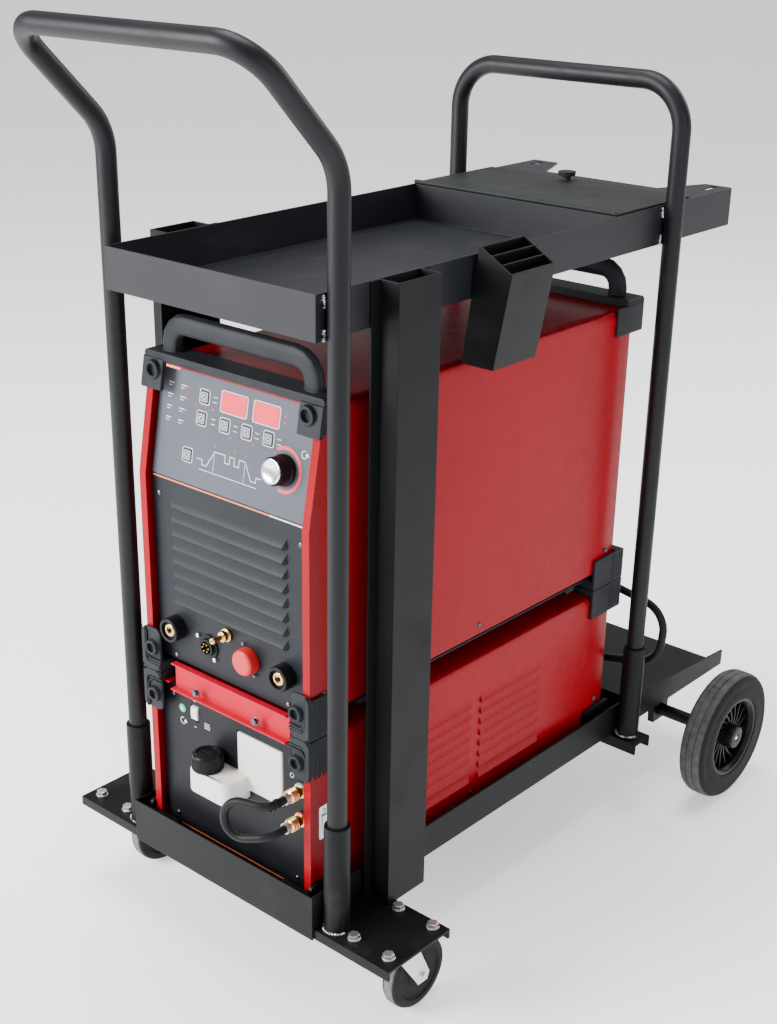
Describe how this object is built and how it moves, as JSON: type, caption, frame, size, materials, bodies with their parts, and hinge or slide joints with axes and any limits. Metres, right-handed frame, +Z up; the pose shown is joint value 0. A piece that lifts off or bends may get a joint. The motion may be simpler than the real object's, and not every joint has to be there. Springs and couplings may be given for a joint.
{
  "type": "tig welding machine",
  "caption": "Inverter TIG welding machine stacked on a water cooler, on a four-wheel trolley with tool tray, bottle platform and rod channels.",
  "frame": {"origin": "on the floor under the middle of the bounding box", "axes": "+Z up, the control panels and grip handle face -Y, +X is to the right seen from the front"},
  "size_m": [0.584, 1.0935, 1.2005],
  "materials": {
    "frame_black": "satin black powder coat",
    "cover_red": "gloss red paint",
    "panel_grey": "fine textured dark grey",
    "panel_black": "satin black",
    "moulding": "moulded dark grey",
    "black_plastic": "moulded black",
    "key_plastic": "dark grey",
    "red_plastic": "red",
    "white_plastic": "translucent white",
    "zinc": "zinc plated",
    "tyre_rubber": "solid rubber",
    "brass": "turned",
    "hose_rubber": "black",
    "aluminium": "extruded"
  },
  "bodies": {
    "set": {"front_caster_plate": "frame_black", "base_frame": "frame_black", "rear_cross_channel": "frame_black", "bottle_platform": "frame_black", "axle": "frame_black", "caster_mount_left": "zinc", "caster_mount_right": "zinc", "front_handle": "frame_black", "rear_handle": "frame_black", "tool_tray": "frame_black", "rod_channel_right": "frame_black", "rod_channel_left": "frame_black", "electrode_box": "frame_black", "welder_cover": "cover_red", "welder_chassis": "panel_black", "welder_front_panel": "panel_grey", "current_socket_left": "black_plastic", "current_socket_right": "black_plastic", "remote_socket": "black_plastic", "gas_nipple": "brass", "remote_cap": "red_plastic", "front_carry_handle": "moulding", "rear_carry_handle": "moulding", "welder_bumper_right": "moulding", "welder_bumper_left": "moulding", "welder_rear_bumper": "moulding", "power_block": "aluminium", "joining_strap": "cover_red", "cooler_bumper_right": "moulding", "cooler_bumper_left": "moulding", "cooler_rear_bumper": "moulding", "cooler_cover": "cover_red", "cooler_chassis": "panel_black", "cooler_front_panel": "panel_black", "coolant_tank": "white_plastic", "coupling_return": "brass", "coupling_supply": "brass", "jumper_hose": "hose_rubber", "supply_lead": "hose_rubber"},
    "lid": {"tray_lid": "frame_black"},
    "cap": {"tank_cap": "black_plastic"},
    "rocker": {"pump_rocker": "white_plastic"},
    "knob": {"encoder_knob": "black_plastic"},
    "rotary_switch": {"mains_switch": "black_plastic"},
    "fan": {"fan_rotor": "black_plastic"},
    "key_polarity": {"key_polarity": "key_plastic"},
    "key_mode": {"key_mode": "key_plastic"},
    "key_trigger": {"key_trigger": "key_plastic"},
    "key_slope": {"key_slope": "key_plastic"},
    "key_pulse": {"key_pulse": "key_plastic"},
    "key_memory": {"key_memory": "key_plastic"},
    "rear_wheel_left": {"rear_tyre_left": "tyre_rubber", "rear_rim_left": "black_plastic"},
    "fork_left": {"caster_fork_left": "zinc"},
    "caster_left": {"caster_wheel_left": "tyre_rubber"},
    "rear_wheel_right": {"rear_tyre_right": "tyre_rubber", "rear_rim_right": "black_plastic"},
    "fork_right": {"caster_fork_right": "zinc"},
    "caster_right": {"caster_wheel_right": "tyre_rubber"}
  },
  "joints": [
    {"name": "lid_hinge", "type": "hinge", "parent": "set", "child": "lid", "pos_m": [0, 0.12775, 0.9373], "axis": [1, 0, 0], "range_deg": [0, 40]},
    {"name": "cap_turn", "type": "hinge", "parent": "set", "child": "cap", "pos_m": [-0.026, -0.43025, 0.2833], "axis": [0, 0, 1], "range_deg": [0, 540]},
    {"name": "rocker_tilt", "type": "hinge", "parent": "set", "child": "rocker", "pos_m": [-0.0715, -0.40525, 0.336], "axis": [1, 0, 0], "range_deg": [-9, 9]},
    {"name": "knob_turn", "type": "hinge", "parent": "set", "child": "knob", "pos_m": [0.087, -0.39835, 0.71], "axis": [0, -0.9842, 0.1772], "continuous": true},
    {"name": "mains_turn", "type": "hinge", "parent": "set", "child": "rotary_switch", "pos_m": [0.092, 0.22475, 0.69], "axis": [0, 1, 0], "range_deg": [0, 90]},
    {"name": "fan_spin", "type": "hinge", "parent": "set", "child": "fan", "pos_m": [0, 0.19775, 0.56], "axis": [0, 1, 0], "continuous": true},
    {"name": "press_polarity", "type": "slide", "parent": "set", "child": "key_polarity", "axis": [0, 0.9842, -0.1772], "range_m": [0, 0.0005], "stiffness_N_per_m": 400},
    {"name": "press_mode", "type": "slide", "parent": "set", "child": "key_mode", "axis": [0, 0.9842, -0.1772], "range_m": [0, 0.0005], "stiffness_N_per_m": 400},
    {"name": "press_trigger", "type": "slide", "parent": "set", "child": "key_trigger", "axis": [0, 0.9842, -0.1772], "range_m": [0, 0.0005], "stiffness_N_per_m": 400},
    {"name": "press_slope", "type": "slide", "parent": "set", "child": "key_slope", "axis": [0, 0.9842, -0.1772], "range_m": [0, 0.0005], "stiffness_N_per_m": 400},
    {"name": "press_pulse", "type": "slide", "parent": "set", "child": "key_pulse", "axis": [0, 0.9842, -0.1772], "range_m": [0, 0.0005], "stiffness_N_per_m": 400},
    {"name": "press_memory", "type": "slide", "parent": "set", "child": "key_memory", "axis": [0, 0.9842, -0.1772], "range_m": [0, 0.0005], "stiffness_N_per_m": 400},
    {"name": "wheel_left_roll", "type": "hinge", "parent": "set", "child": "rear_wheel_left", "pos_m": [-0.2675, 0.39275, 0.1025], "axis": [1, 0, 0], "continuous": true},
    {"name": "caster_left_swivel", "type": "hinge", "parent": "set", "child": "fork_left", "pos_m": [-0.243, -0.37225, 0.116], "axis": [0, 0, 1], "continuous": true},
    {"name": "caster_left_roll", "type": "hinge", "parent": "fork_left", "child": "caster_left", "pos_m": [-0.243, -0.33225, 0.05], "axis": [1, 0, 0], "continuous": true},
    {"name": "wheel_right_roll", "type": "hinge", "parent": "set", "child": "rear_wheel_right", "pos_m": [0.2675, 0.39275, 0.1025], "axis": [1, 0, 0], "continuous": true},
    {"name": "caster_right_swivel", "type": "hinge", "parent": "set", "child": "fork_right", "pos_m": [0.243, -0.37225, 0.116], "axis": [0, 0, 1], "continuous": true},
    {"name": "caster_right_roll", "type": "hinge", "parent": "fork_right", "child": "caster_right", "pos_m": [0.243, -0.33225, 0.05], "axis": [1, 0, 0], "continuous": true}
  ]
}
